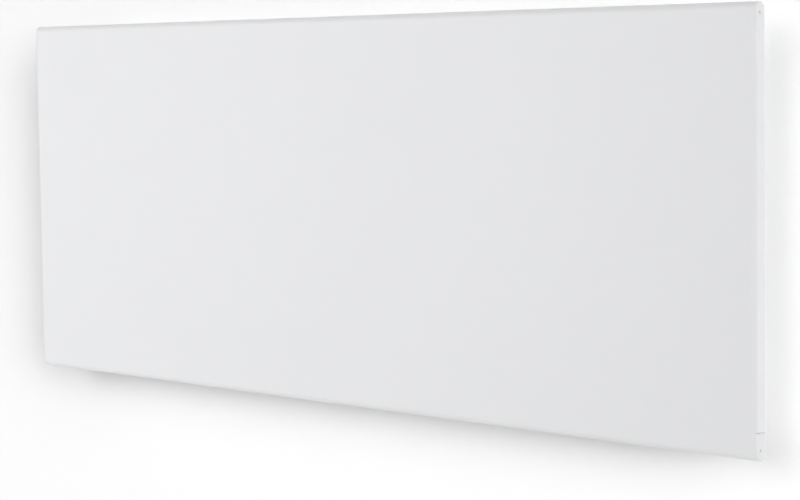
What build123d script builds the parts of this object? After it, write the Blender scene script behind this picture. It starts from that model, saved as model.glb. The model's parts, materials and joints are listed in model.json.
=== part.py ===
from build123d import *
import math
import os

# A slim electric panel heater that hangs on a wall bracket.
# X runs along the heater, to the right as seen from the room, and Z is up.
# The wall is the plane Y = 0 and the room is on its negative side. "Depth" below is the
# distance out from the wall, so a depth is minus Y.
# The origin is the middle of the bracket's rail, on the wall. All sizes are in millimetres.

# Front cover: one folded sheet with rolled top and bottom edges
front_width = 1050.0
front_height = 400.0
total_depth = 86.0
edge_depth = 12.5
cover_sheet = 1.0
lip_height = 25.0
side_fold_radius = 2.0
side_return = 8.0

# End caps that close the rolled edges, and their pins
cap_gap = 0.6
cap_rim_margin = 0.2
cap_plug_length = 12.0
cap_clearance = 0.15
cap_pin_radius = 1.3
cap_pin_length = 10.0
cap_pin_recess = 0.6
cap_pin_from_top = 9.6
cap_pin_from_front = 5.0
pin_clearance = 0.05

# Rear casing: back, top and bottom walls in one folded sheet
side_overhang = 60.0
top_overhang = 14.0
casing_sheet = 0.8
casing_bend_radius = 2.0
wall_gap = 17.0
flange_height = 7.0
bead_radius = 6.0
bead_rise = 2.0
bead_height = 60.0
bead_clearance = 22.0
side_flange = 12.0
fit_gap = 0.1

# Air outlet on top and air inlet below
grille_sheet = 1.0
grille_from_end = 27.0
grille_to_control = 22.0
grille_width = 42.0
grille_lap = 4.0
vent_width = 4.0
vent_pitch = 9.0
vent_end_margin = 5.0
inlet_width = 38.0

# Wall bracket
upright_from_end = 215.0
upright_width = 30.0
upright_from_top = 36.0
bracket_sheet = 2.0
bracket_gap = 0.3
hook_from_tip = 50.0
hook_neck = 8.0
hook_tooth = 8.0
hook_thickness = 3.0
hook_gap = 0.5
lift_travel = 9.0
slot_clearance = 1.5
seat_gap = 0.1
wall_hole_radius = 3.0
wall_hole_from_tip = 20.0
rail_height = 40.0
rail_flange = 8.0
rail_lap = 8.0
rivet_radius = 2.0
rivet_head_radius = 3.5
rivet_head_height = 1.2
rivet_row = 10.0

# Sliding catches that lock the heater on its bracket
lug_length = 14.0
catch_travel = 13.0
catch_thickness = 3.0
catch_height = 16.0
catch_length = 36.0
tongue_length = 12.0
tongue_height = 3.0
catch_clearance = 0.5
catch_slot_height = 4.2
catch_rivet_spacing = 10.0
catch_rivet_clearance = 0.1
grip_width = 16.0
grip_length = 10.0
grip_rise = 3.0
grip_rib_radius = 0.8

# Rubber buffers on the back of the casing
buffer_radius = 9.0
buffer_stem_radius = 3.0
buffer_button_radius = 5.0
buffer_button_height = 2.5
buffer_from_end = 65.0
buffer_from_edge = 21.0

# Heating element and heat shields
element_from_left = 75.0
element_from_right = 95.0
element_rise = 81.0
core_radius = 8.0
wing_reach = 28.0
wing_thickness = 2.4
fin_thickness = 9.0
fin_pitch = 14.0
rod_radius = 4.0
rod_overhang = 22.0
rod_clearance = 0.05
terminal_radius = 2.0
terminal_length = 8.0
bush_neck_radius = 7.0
bush_flange_radius = 10.0
bush_neck_length = 6.0
bush_flange_length = 3.0
element_bracket_sheet = 1.2
element_bracket_height = 34.0
element_bracket_foot = 14.0
shield_sheet = 0.5
shield_flange = 12.0
shield_clearance = 1.0
front_shield_rise = 36.0
front_shield_from_top = 56.0
rear_shield_below_hooks = 10.0
rear_shield_above_hooks = 30.0
shield_rivet_radius = 1.6
shield_rivet_head = 3.0
shield_rivet_spread = 45.0

# Thermal cut-out on the front shield
cutout_from_end = 265.0
cutout_from_top = 126.0
cutout_radius = 8.0
cutout_body_depth = 6.0
cutout_plate_width = 24.0
cutout_plate_height = 10.0
cutout_plate_sheet = 1.0
cutout_tab_length = 8.0

# Control box at the right end of the top
control_from_end = 49.0
control_depth = 46.0
control_width = 64.0
control_breadth = 42.0
control_height = 39.0
control_wall = 1.8
control_ledge = 5.0
fascia_overlap = 2.0
fascia_sheet = 2.0
fascia_corner = 4.0
dial_offset = -12.0
dial_radius = 13.5
dial_skirt_radius = 16.0
dial_skirt_height = 2.0
dial_height = 9.0
dial_gap = 0.4
dial_flutes = 24
dial_flute_radius = 1.1
pointer_width = 1.4
pointer_sink = 0.6
shaft_radius = 3.0
shaft_clearance = 0.05
shaft_in_dial = 6.5
board_thickness = 1.6
board_width = 36.0
board_rise = 17.0
board_inset = 1.2
pot_radius = 8.0
pot_height = 9.0
relay_size = (16.0, 8.0, 13.4)
capacitor_radius = 4.0
capacitor_height = 12.0
lamp_radius = 2.5
lamp_height = 5.5
lamp_inset = 3.5
guide_radius = 2.0
guide_flange_radius = 3.2
guide_flange_height = 1.2
guide_dome = 0.6
post_radius = 2.2

# Rocker switch
rocker_offset = 20.0
rocker_width = 11.0
rocker_radius = 9.4
rocker_gap = 0.3
rocker_tilt = 8.0
rocker_rise = 3.6
rocker_drop = 5.0
trunnion_radius = 1.2
trunnion_length = 0.8
trunnion_clearance = 0.05
frame_wall = 0.9
frame_bezel = 1.2
frame_bezel_height = 1.6
frame_depth = 14.0
frame_tab_spacing = 10.0
frame_tab_length = 6.0
pivot_below_fascia = 2.5
opening_margin = 0.1

# Terminals, gland, earth point and sensor at the lower right
terminal_from_end = 42.0
terminal_rise = 56.0
pole_pitch = 12.0
pole_count = 3
terminal_block_height = 22.0
terminal_block_depth = 17.0
terminal_hole_radius = 1.8
terminal_hole_length = 7.0
gland_depth = 40.0
gland_bore = 4.0
gland_neck_radius = 7.9
gland_head_radius = 10.5
gland_head_height = 8.0
gland_neck_length = 12.0
gland_nut_height = 5.0
gland_nut_radius = 12.0
gland_clearance = 0.1
earth_from_end = 15.0
earth_rise = 86.0
earth_radius = 2.0
earth_length = 12.0
nut_radius = 4.2
nut_height = 3.2
sensor_from_end = 85.0
sensor_depth = 60.0
sensor_clip = (9.0, 7.0, 8.0)
sensor_radius = 2.2
sensor_length = 14.0

# Leads
lead_radius = 1.3
sensor_lead_radius = 0.9
lead_clearance = 0.7
lead_bend = 8.0
clip_size = (6.0, 6.0, 8.0)
clip_bore_clearance = 0.15
clip_from_end = 165.0
clip_count = 4
clip_to_cutout = 80.0
lead_from_top = 106.0
lead_drop = 14.0
lead_side_step = 30.0
lead_run_end = 60.0
lead_level_run = 25.0
return_run_start = 40.0
return_side = 22.0
return_back = 6.0
return_fall = 90.0
return_foot = 20.0
return_tip = 16.0

# Screws
screw_radius = 1.5
screw_head_radius = 3.0
screw_head_height = 2.0
screw_recess = 1.0
screw_recess_radius = 1.2
screw_clearance = 0.1
cover_screw_length = 6.0
cover_screw_from_end = 45.0
cover_screw_count = 6
casing_screw_length = 5.0
board_screw_length = 5.0
control_screw_length = 9.0

# Places that follow from the sizes above
cap_plate = side_fold_radius + cap_rim_margin
lip_depth = total_depth - edge_depth
edge_middle = total_depth - edge_depth / 2
lip_end = front_height / 2 - lip_height
casing_width = front_width - 2 * side_overhang
casing_height = front_height - 2 * top_overhang
casing_top = casing_height / 2
casing_side = casing_width / 2
upright_spacing = casing_width - 2 * upright_from_end
upright_height = casing_height - 2 * upright_from_top
hook_height = upright_height / 2 - hook_from_tip
wall_hole_height = upright_height / 2 - wall_hole_from_tip
inner_back = wall_gap + casing_sheet
inner_top = casing_top - casing_sheet
inner_side = casing_side - casing_sheet
hook_tip = inner_back + hook_gap + hook_thickness
rear_shield_depth = hook_tip + shield_clearance
front_shield_depth = lip_depth - casing_sheet - shield_clearance - shield_sheet
element_depth = (rear_shield_depth + front_shield_depth) / 2
vent_depth = (wall_gap + lip_depth) / 2
hook_x = (upright_spacing + upright_width - bracket_sheet) / 2
flange_tip = wall_gap - bracket_gap
control_x = casing_side - control_from_end
grille_start = -casing_side + grille_from_end
grille_length = control_x - control_width / 2 - grille_to_control - grille_start
grille_middle = grille_start + grille_length / 2
buffer_spread = casing_side - buffer_from_end
buffer_height = casing_top - buffer_from_edge
element_length = casing_width - element_from_left - element_from_right
element_middle = (element_from_left - element_from_right) / 2
element_height = -casing_top + element_rise
front_shield_low = -casing_top + front_shield_rise
front_shield_high = casing_top - front_shield_from_top
rear_shield_low = -hook_height + rear_shield_above_hooks
rear_shield_high = hook_height - rear_shield_below_hooks
cutout_x = casing_side - cutout_from_end
cutout_height = casing_top - cutout_from_top
terminal_block_x = casing_side - terminal_from_end
terminal_block_top = -casing_top + terminal_rise
earth_x = casing_side - earth_from_end
earth_height = -casing_top + earth_rise
sensor_x = casing_side - sensor_from_end
clip_spread = casing_side - clip_from_end
lead_height = casing_top - lead_from_top
cover_screw_spread = casing_width - 2 * cover_screw_from_end
control_floor = inner_top - control_height
dial_x = control_x + dial_offset
rocker_x = control_x + rocker_offset
fascia_top = casing_top + fascia_sheet
board_x = control_x - control_width / 2 + control_wall + board_inset + board_width / 2
board_low = control_floor + board_rise
board_high = board_low + board_thickness
pivot_height = fascia_top - pivot_below_fascia
opening_length = 2 * (rocker_radius - opening_margin)
well_length = 2 * (rocker_radius + rocker_gap)
well_width = rocker_width + 2 * rocker_gap
frame_width = well_width + 2 * frame_wall
frame_length = well_length + 2 * frame_wall
lamp_x = board_x + board_width / 2 - lamp_radius - lamp_inset
lamp_depth = control_depth + board_width / 2 - lamp_radius - lamp_inset


def block(x, depth, z):
    """A block between three (low, high) pairs, with depth measured out from the wall."""
    size = (x[1] - x[0], depth[1] - depth[0], z[1] - z[0])
    middle = ((x[0] + x[1]) / 2, -(depth[0] + depth[1]) / 2, (z[0] + z[1]) / 2)
    return Pos(*middle) * Box(*size)


def around(middle, size):
    """The (low, high) pair of a given size around a middle."""
    return (middle - size / 2, middle + size / 2)


def rod_along(radius, x, depth, z):
    """A round bar along X."""
    return Pos((x[0] + x[1]) / 2, -depth, z) * Rot(0, 90, 0) * Cylinder(radius, x[1] - x[0])


def rod_out(radius, x, depth, z):
    """A round bar that points out from the wall."""
    return Pos(x, -(depth[0] + depth[1]) / 2, z) * Rot(90, 0, 0) * Cylinder(radius, depth[1] - depth[0])


def rod_up(radius, x, depth, z):
    """A round bar that stands upright."""
    return Pos(x, -depth, (z[0] + z[1]) / 2) * Cylinder(radius, z[1] - z[0])


def hexagon_up(radius, x, depth, z):
    """An upright hexagonal bar, with radius measured to its corners."""
    return Pos(x, -depth, z[0]) * extrude(RegularPolygon(radius, 6), amount=z[1] - z[0])


def mirrored(piece):
    """The same piece at the other end of the heater."""
    return mirror(piece, about=Plane.YZ)


def spread(total, count):
    """Even places from one end of a total length to the other, about zero."""
    return [total * (i / (count - 1) - 0.5) for i in range(count)]


def group(pieces):
    """Several separate solids kept as one sub-part."""
    return Compound(children=[solid for piece in pieces for solid in piece.solids()])


def rolled_bar(inset, length, middle=0.0):
    """A bar of the cover's section, a tall slot shape, drawn in by inset all round."""
    section = SlotOverall(front_height - 2 * inset, edge_depth - 2 * inset, rotation=90)
    bar = extrude(Plane.YZ * section, amount=length / 2, both=True)
    return Pos(middle, -edge_middle, 0) * bar


def cap_pin_axis():
    """Depth and height of a top cap's pin."""
    return total_depth - cap_pin_from_front, front_height / 2 - cap_pin_from_top


def side_channel():
    """The folded right-hand side of the cover, between its two caps."""
    outer = RectangleRounded(2 * side_return, edge_depth, side_fold_radius)
    inner_size = (2 * (side_return - cover_sheet), edge_depth - 2 * cover_sheet)
    inner = RectangleRounded(*inner_size, side_fold_radius - cover_sheet)
    channel = extrude(outer - inner, amount=lip_end - cap_gap, both=True)
    channel = Pos(front_width / 2 - side_return, -edge_middle, 0) * channel
    outside = (front_width / 2 - side_return, front_width / 2)
    return channel & block(outside, (0, total_depth), (-front_height, front_height))


def cover_screw_places():
    """X of the screws that hold the casing to the cover's lips."""
    return spread(cover_screw_spread, cover_screw_count)


def cover_screw_height():
    return casing_top + flange_height / 2


def front_cover():
    """The smooth front: flat face, rolled top and bottom edges, folded sides."""
    length = front_width - 2 * cap_plate
    cover = rolled_bar(0, length) - rolled_bar(cover_sheet, length + 2)
    cover -= block(around(0, length + 2), (0, edge_middle), (-lip_end, lip_end))
    cover = cover + side_channel() + mirrored(side_channel())
    holes = []
    for x in cover_screw_places():
        for z in (-cover_screw_height(), cover_screw_height()):
            reach = (lip_depth - 1, lip_depth + cover_sheet + 1)
            holes.append(rod_out(screw_radius + screw_clearance, x, reach, z))
    return cover - holes


def corner_cap():
    """The top right end cap: a rounded plate and the plug that fits in the rolled edge."""
    above = block((0, front_width), (0, total_depth), (lip_end, front_height))
    plate = rolled_bar(0, cap_plate, front_width / 2 - cap_plate / 2) & above
    face = plate.faces().sort_by(Axis.X)[-1]
    rim = [edge for edge in face.edges() if edge.center().Z > lip_end + fit_gap]
    plate = fillet(rim, side_fold_radius)
    plug_middle = front_width / 2 - cap_plate - cap_plug_length / 2
    plug = rolled_bar(cover_sheet + cap_clearance, cap_plug_length, plug_middle) & above
    depth, z = cap_pin_axis()
    bore = rod_along(cap_pin_radius + pin_clearance, (front_width / 2 - 20, front_width), depth, z)
    return plate + plug - bore


def cap_pin():
    """The pin that spreads the top right cap in the rolled edge."""
    depth, z = cap_pin_axis()
    end = front_width / 2 - cap_pin_recess
    return rod_along(cap_pin_radius, (end - cap_pin_length, end), depth, z)


def four_ways(piece):
    """A top right piece, repeated at all four corners."""
    low = mirror(piece, about=Plane.XY)
    return {
        "top_right": piece,
        "top_left": mirrored(piece),
        "bottom_right": low,
        "bottom_left": mirrored(low),
    }


def bead(x, z):
    """A stiffening bead pressed towards the wall: its outside and its hollow."""
    depth = wall_gap - bead_rise + bead_radius
    skin = rod_along(bead_radius, x, depth, z)
    skin = skin & block(x, (0, inner_back), (z - bead_radius, z + bead_radius))
    inside = (x[0] + casing_sheet, x[1] - casing_sheet)
    return skin, rod_along(bead_radius - casing_sheet, inside, depth, z)


def bead_spans():
    """The beads' (low, high) X, clear of the bracket's uprights."""
    near = (upright_spacing - upright_width) / 2 - bead_clearance
    far = (upright_spacing + upright_width) / 2 + bead_clearance
    end = casing_side - bead_clearance
    return [(-end, -far), (-near, near), (far, end)]


def hook_places():
    """X and height of the seat of each hook."""
    return [(x, z) for x in (-hook_x, hook_x) for z in (-hook_height, hook_height)]


def vent_places(middle, length):
    """X of the vents in a grille of a given length."""
    count = int((length - 2 * vent_end_margin) / vent_pitch)
    return [middle + x for x in spread(vent_pitch * (count - 1), count)]


def vents(middle, length, breadth, z):
    """The slots of a grille, round at both ends."""
    slot = Plane.XY.offset(z[0]) * SlotOverall(breadth, vent_width, rotation=90)
    slot = extrude(slot, amount=z[1] - z[0])
    return [Pos(x, -vent_depth, 0) * slot for x in vent_places(middle, length)]


def casing_screw_places():
    """X and depth of the upright screws that hold the right side plate."""
    x = inner_side - side_flange / 2
    return [(x, vent_depth - 15), (x, vent_depth + 15)]


def grille_screw_places():
    """X and depth of the upright screws at the two ends of the outlet grille."""
    reach = grille_length / 2 + grille_lap + screw_head_radius
    return [(grille_middle - reach, vent_depth), (grille_middle + reach, vent_depth)]


def control_screw_places():
    """X and depth of the screws through the fascia into the control housing."""
    dx = control_width / 2 - control_ledge / 2
    dy = control_breadth / 2 - control_ledge / 2
    return [(control_x + i * dx, control_depth + j * dy) for i in (-1, 1) for j in (-1, 1)]


def catch_places():
    """X of the right catch's body at rest, and of its two rivets."""
    start = hook_x + bracket_sheet / 2 + lug_length + 1 + catch_travel
    first = start + 4.0 + rivet_radius
    return (start, start + catch_length), (first, first + catch_rivet_spacing)


def catch_top():
    return -upright_height / 2 - catch_clearance


def catch_rivet_height():
    return catch_top() - catch_height / 2


def buffer_places():
    return [(-buffer_spread, -buffer_height), (buffer_spread, -buffer_height)]


def element_bracket_place():
    """How far the outer face of each element bracket is from the element's middle."""
    return element_length / 2 + fit_gap + bush_neck_length


def element_foot_places():
    """X of the screws in the feet of the element brackets."""
    reach = element_bracket_place() + element_bracket_foot / 2
    return [element_middle - reach, element_middle + reach]


def casing_holes():
    """Everything that is cut out of the casing."""
    cuts = []
    for x, z in hook_places():
        low = z - hook_neck - lift_travel - slot_clearance
        width = bracket_sheet + 2 * slot_clearance
        cuts.append(block(around(x, width), (wall_gap - 1, inner_back + 1), (low, z + seat_gap)))
    for x in catch_places()[1]:
        for side in (-1, 1):
            reach = (wall_gap - 1, inner_back + 1)
            radius = rivet_radius + catch_rivet_clearance
            cuts.append(rod_out(radius, side * x, reach, catch_rivet_height()))
    for x, z in buffer_places():
        reach = (wall_gap - 1, inner_back + 1)
        cuts.append(rod_out(buffer_stem_radius + fit_gap, x, reach, z))
    for x in element_foot_places():
        reach = (wall_gap - 1, inner_back + 1)
        cuts.append(rod_out(screw_radius + screw_clearance, x, reach, element_height))
    top = (inner_top - 1, casing_top + 1)
    low = (-casing_top - 1, -inner_top + 1)
    cuts.append(block(around(grille_middle, grille_length), around(vent_depth, grille_width), top))
    width = control_width - 2 * control_ledge
    breadth = control_breadth - 2 * control_ledge
    cuts.append(block(around(control_x, width), around(control_depth, breadth), top))
    for x, depth in control_screw_places():
        cuts.append(rod_up(screw_radius + screw_clearance, x, depth, top))
    for x, depth in grille_screw_places():
        cuts.append(rod_up(screw_radius + screw_clearance, x, depth, top))
    for x, depth in casing_screw_places():
        for side in (-1, 1):
            for z in (top, low):
                cuts.append(rod_up(screw_radius + screw_clearance, side * x, depth, z))
    cuts.append(rod_up(gland_neck_radius + gland_clearance, terminal_block_x, gland_depth, low))
    cuts.append(rod_out(earth_radius + fit_gap, earth_x, (wall_gap - 1, inner_back + 1), earth_height))
    cuts += vents(grille_middle, grille_length, inlet_width, low)
    for x in cover_screw_places():
        for z in (-cover_screw_height(), cover_screw_height()):
            reach = (lip_depth - casing_sheet - 1, lip_depth + 1)
            cuts.append(rod_out(screw_radius + screw_clearance, x, reach, z))
    return cuts


def rear_casing():
    """Back, top and bottom walls with the flanges that meet the cover's lips."""
    span = lip_depth - wall_gap
    outer = RectangleRounded(2 * span, casing_height, casing_bend_radius)
    inner_size = (2 * (span - casing_sheet), casing_height - 2 * casing_sheet)
    inner = RectangleRounded(*inner_size, casing_bend_radius - casing_sheet)
    shell = extrude(Plane.YZ * (outer - inner), amount=casing_side, both=True)
    shell = Pos(0, -lip_depth, 0) * shell
    shell = shell & block(around(0, casing_width), (wall_gap - 1, lip_depth), (-casing_top, casing_top))
    for side in (-1, 1):
        z = sorted((side * inner_top, side * (casing_top + flange_height)))
        shell += block(around(0, casing_width), (lip_depth - casing_sheet, lip_depth), z)
    hollows = []
    for x in bead_spans():
        for z in (-bead_height, bead_height):
            skin, hollow = bead(x, z)
            shell += skin
            hollows.append(hollow)
    return shell - hollows - casing_holes()


def side_plate():
    """The right end of the casing, with a tongue that reaches into the front cover."""
    x = (inner_side, casing_side)
    plate = block(x, (inner_back + fit_gap, lip_depth), (-inner_top + fit_gap, inner_top - fit_gap))
    corners = plate.edges().filter_by(Axis.X).group_by(Axis.Y)[-1]
    plate = fillet(corners, casing_bend_radius)
    tongue_depth = total_depth - cover_sheet - 3 * fit_gap
    tongue = lip_end - cap_gap
    plate += block(x, (lip_depth - 1, tongue_depth), (-tongue, tongue))
    inset = casing_bend_radius + 2
    for side in (-1, 1):
        edge = side * (inner_top - fit_gap)
        z = sorted((edge, edge - side * casing_sheet))
        reach = (inner_back + inset, lip_depth - inset)
        plate += block((inner_side - side_flange, inner_side), reach, z)
    for place, depth in casing_screw_places():
        plate -= rod_up(screw_radius, place, depth, (-casing_top, casing_top))
    for depth, z in shield_rivet_places():
        plate -= rod_along(shield_rivet_radius + fit_gap, (inner_side - 1, casing_side + 1), depth, z)
    return plate


def outlet_grille():
    """The louvred strip over the air outlet."""
    z = (casing_top + fit_gap, casing_top + fit_gap + grille_sheet)
    length = grille_length + 2 * grille_lap + 4 * screw_head_radius
    breadth = grille_width + 2 * grille_lap
    strip = block(around(grille_middle, length), around(vent_depth, breadth), z)
    strip = fillet(strip.edges().filter_by(Axis.Z), grille_lap)
    frame_x = around(grille_middle, grille_length - 2 * fit_gap)
    frame_depth_pair = around(vent_depth, grille_width - 2 * fit_gap)
    skirt = (casing_top - 3 * grille_sheet, casing_top + 2 * fit_gap)
    frame = block(frame_x, frame_depth_pair, skirt)
    hollow_x = around(grille_middle, grille_length - 2 * fit_gap - 2 * grille_sheet)
    hollow_depth = around(vent_depth, grille_width - 2 * fit_gap - 2 * grille_sheet)
    frame -= block(hollow_x, hollow_depth, (skirt[0] - 1, skirt[1] + 1))
    strip += frame
    strip -= vents(grille_middle, grille_length, inlet_width, (z[0] - 1, z[1] + 1))
    for x, depth in grille_screw_places():
        strip -= rod_up(screw_radius + screw_clearance, x, depth, (z[0] - 1, z[1] + 1))
    return strip


def heat_shield(depth, low, high, direction):
    """A bright sheet across the casing, with end flanges folded towards direction."""
    reach = inner_side - fit_gap
    shield = block((-reach, reach), (depth, depth + shield_sheet), (low, high))
    flange = sorted((depth, depth + direction * shield_flange))
    for side in (-1, 1):
        x = sorted((side * reach, side * (reach - shield_sheet)))
        shield += block(x, flange, (low, high))
        for place, z in shield_rivet_places():
            if low < z < high and flange[0] < place < flange[1]:
                pair = sorted((side * (reach - 2), side * (reach + 2)))
                shield -= rod_along(shield_rivet_radius + fit_gap, pair, place, z)
    return shield


def shield_rivet_places():
    """Depth and height of the rivets that hold both shields to a side plate."""
    front = front_shield_depth - shield_flange / 2
    rear = rear_shield_depth + shield_flange / 2
    return [(depth, z) for depth in (rear, front) for z in (-shield_rivet_spread, shield_rivet_spread)]


def shield_rivets():
    """Rivets through the side plates and the shields' flanges."""
    rivets = []
    inside = inner_side - fit_gap - shield_sheet
    for depth, z in shield_rivet_places():
        rivet = rod_along(shield_rivet_radius, (inside - 1, casing_side + 1), depth, z)
        rivet += rod_along(shield_rivet_head, (inside - 1, inside), depth, z)
        rivet += rod_along(shield_rivet_head, (casing_side, casing_side + 1), depth, z)
        rivets += [rivet, mirrored(rivet)]
    return group(rivets)


def element_fins():
    """The aluminium body: a core with four wings cut into fins."""
    start = element_middle - element_length / 2
    end = element_middle + element_length / 2
    body = rod_along(core_radius, (start, end), element_depth, element_height)
    wing = Box(fin_thickness, 2 * wing_reach, wing_thickness)
    cross = Rot(45, 0, 0) * wing + Rot(-45, 0, 0) * wing
    count = int((element_length - fin_thickness) / fin_pitch) + 1
    places = [element_middle + x for x in spread(fin_pitch * (count - 1), count)]
    body += [Pos(x, -element_depth, element_height) * cross for x in places]
    bore = rod_radius + rod_clearance
    return body - rod_along(bore, (start - 1, end + 1), element_depth, element_height)


def element_rod():
    """The sheathed heating rod with a terminal pin at each end."""
    reach = element_length / 2 + rod_overhang
    x = around(element_middle, 2 * reach)
    rod = rod_along(rod_radius, x, element_depth, element_height)
    pins = around(element_middle, 2 * (reach + terminal_length))
    return rod + rod_along(terminal_radius, pins, element_depth, element_height)


def element_bush():
    """The insulating bush at the right end of the rod."""
    start = element_middle + element_length / 2 + fit_gap
    outer = element_middle + element_bracket_place()
    neck = rod_along(bush_neck_radius, (start, outer + fit_gap), element_depth, element_height)
    collar = (outer + fit_gap, outer + fit_gap + bush_flange_length)
    flange = rod_along(bush_flange_radius, collar, element_depth, element_height)
    bore = rod_along(rod_radius + rod_clearance, (start - 1, collar[1] + 1), element_depth, element_height)
    return neck + flange - bore


def element_bracket():
    """The right bracket: an upright plate and a foot screwed to the casing's back."""
    outer = element_middle + element_bracket_place()
    height = around(element_height, element_bracket_height)
    front = element_depth + element_bracket_height / 2
    foot_depth = (inner_back + fit_gap, inner_back + fit_gap + element_bracket_sheet)
    plate = block((outer - element_bracket_sheet, outer), (foot_depth[0], front), height)
    foot = block((outer - element_bracket_sheet, outer + element_bracket_foot), foot_depth, height)
    hole = rod_along(bush_neck_radius + fit_gap, (outer - 5, outer + 5), element_depth, element_height)
    x = element_foot_places()[1]
    screw = rod_out(screw_radius, x, (inner_back - 1, foot_depth[1] + 1), element_height)
    return plate + foot - hole - screw


def about_element(piece):
    """The same piece at the left end of the element."""
    return mirror(piece, about=Plane.YZ.offset(element_middle))


def thermal_cutout():
    """The disc that switches the element off when the casing overheats."""
    back = front_shield_depth - fit_gap
    plate = (back - cutout_plate_sheet, back)
    body = (plate[0] - cutout_body_depth, plate[0])
    disc = rod_out(cutout_radius, cutout_x, body, cutout_height)
    base = block(
        around(cutout_x, cutout_plate_width), plate, around(cutout_height, cutout_plate_height)
    )
    tab_span = 2 * (cutout_radius + cutout_tab_length)
    tabs = block(
        around(cutout_x, tab_span), around(lead_depth(), cutout_plate_sheet), around(cutout_height, 4)
    )
    return disc + base + tabs


def lead_depth():
    """Depth at which the leads run along the back of the front shield."""
    return front_shield_depth - fit_gap - clip_size[1] / 2


def control_housing():
    """The open-topped box under the fascia, with corner bosses and board posts."""
    x = around(control_x, control_width)
    depth = around(control_depth, control_breadth)
    top = inner_top - fit_gap
    box = block(x, depth, (control_floor, top))
    box = fillet(box.edges().filter_by(Axis.Z), control_wall)
    inside_x = around(control_x, control_width - 2 * control_wall)
    inside_depth = around(control_depth, control_breadth - 2 * control_wall)
    box -= block(inside_x, inside_depth, (control_floor + control_wall, top + 1))
    boss_low = top - control_screw_length - control_wall
    for place, out in control_screw_places():
        pair = around(place, control_ledge)
        box += block(pair, around(out, control_ledge), (boss_low, top))
    for place, out in board_screw_places():
        box += rod_up(post_radius, place, out, (control_floor, board_low - fit_gap))
    for place, out in control_screw_places():
        box -= rod_up(screw_radius, place, out, (top - control_screw_length, top + 1))
    for place, out in board_screw_places():
        low = board_low - board_screw_length
        box -= rod_up(screw_radius - 0.5, place, out, (low, board_low + 1))
    for place, out, radius in lead_holes():
        hole = (control_floor - 1, control_floor + control_wall + 1)
        box -= rod_up(radius + lead_clearance, place, out, hole)
    return box


def lead_holes():
    """X, depth and lead radius of each hole in the floor of the control housing."""
    return [
        (board_x - 6, control_depth + 12, lead_radius),
        (board_x + 8, control_depth + 14, sensor_lead_radius),
        (rocker_x, control_depth - frame_tab_spacing / 2, lead_radius),
    ]


def control_fascia():
    """The plate that shows round the dial and the switch."""
    x = around(control_x, control_width + 2 * fascia_overlap)
    depth = around(control_depth, control_breadth + 2 * fascia_overlap)
    plate = block(x, depth, (casing_top + fit_gap, fascia_top))
    plate = fillet(plate.edges().filter_by(Axis.Z), fascia_corner)
    plate = fillet(plate.faces().sort_by(Axis.Z)[-1].outer_wire().edges(), fascia_sheet / 3)
    above = (casing_top - 1, fascia_top + 1)
    plate -= rod_up(shaft_radius + 3 * fit_gap, dial_x, control_depth, above)
    opening_x = around(rocker_x, frame_width + 4 * fit_gap)
    opening_depth = around(control_depth, frame_length + 4 * fit_gap)
    plate -= block(opening_x, opening_depth, above)
    plate -= rod_up(guide_radius + fit_gap, lamp_x, lamp_depth, above)
    for place, out in control_screw_places():
        plate -= rod_up(screw_radius + screw_clearance, place, out, above)
    return plate


def thermostat_dial():
    """The fluted dial with a pointer groove towards the middle of the scale."""
    low = fascia_top + dial_gap
    high = low + dial_height
    dial = rod_up(dial_radius, dial_x, control_depth, (low, high))
    dial = fillet(dial.edges().sort_by(Axis.Z)[-1], dial_flute_radius)
    flutes = []
    for i in range(dial_flutes):
        angle = 2 * math.pi * (i + 0.5) / dial_flutes
        x = dial_x + (dial_radius + dial_flute_radius / 2) * math.cos(angle)
        depth = control_depth + (dial_radius + dial_flute_radius / 2) * math.sin(angle)
        flutes.append(rod_up(dial_flute_radius, x, depth, (low + dial_skirt_height, high + 1)))
    dial -= flutes
    skirt = rod_up(dial_skirt_radius, dial_x, control_depth, (low, low + dial_skirt_height))
    dial += fillet(skirt.edges().sort_by(Axis.Z)[-1], dial_skirt_height / 2)
    groove = (control_depth - dial_radius, control_depth - dial_radius / 3)
    dial -= block(around(dial_x, pointer_width), groove, (high - pointer_sink, high + 1))
    socket = rod_up(shaft_radius + shaft_clearance, dial_x, control_depth, (low - 1, low + shaft_in_dial))
    return dial - socket


def dial_shaft():
    """The shaft that turns with the dial in the potentiometer."""
    top = fascia_top + dial_gap + shaft_in_dial - fit_gap
    return rod_up(shaft_radius, dial_x, control_depth, (board_high + pot_height / 3, top))


def potentiometer():
    """The potentiometer under the dial, with the bearing for its shaft."""
    body = rod_up(pot_radius, dial_x, control_depth, (board_high + fit_gap, board_high + pot_height))
    bore = (board_high + pot_height / 3 - fit_gap, board_high + pot_height + 1)
    return body - rod_up(shaft_radius + shaft_clearance, dial_x, control_depth, bore)


def board_screw_places():
    """X and depth of the three screws that hold the circuit board."""
    reach = board_width / 2 - post_radius - 1.0
    return [
        (board_x - reach, control_depth - reach),
        (board_x + reach, control_depth - reach),
        (board_x - reach, control_depth + reach),
    ]


def control_board():
    """The circuit board."""
    square = around(control_depth, board_width)
    board = block(around(board_x, board_width), square, (board_low, board_high))
    for x, depth in board_screw_places():
        board -= rod_up(screw_radius, x, depth, (board_low - 1, board_high + 1))
    return board


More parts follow.
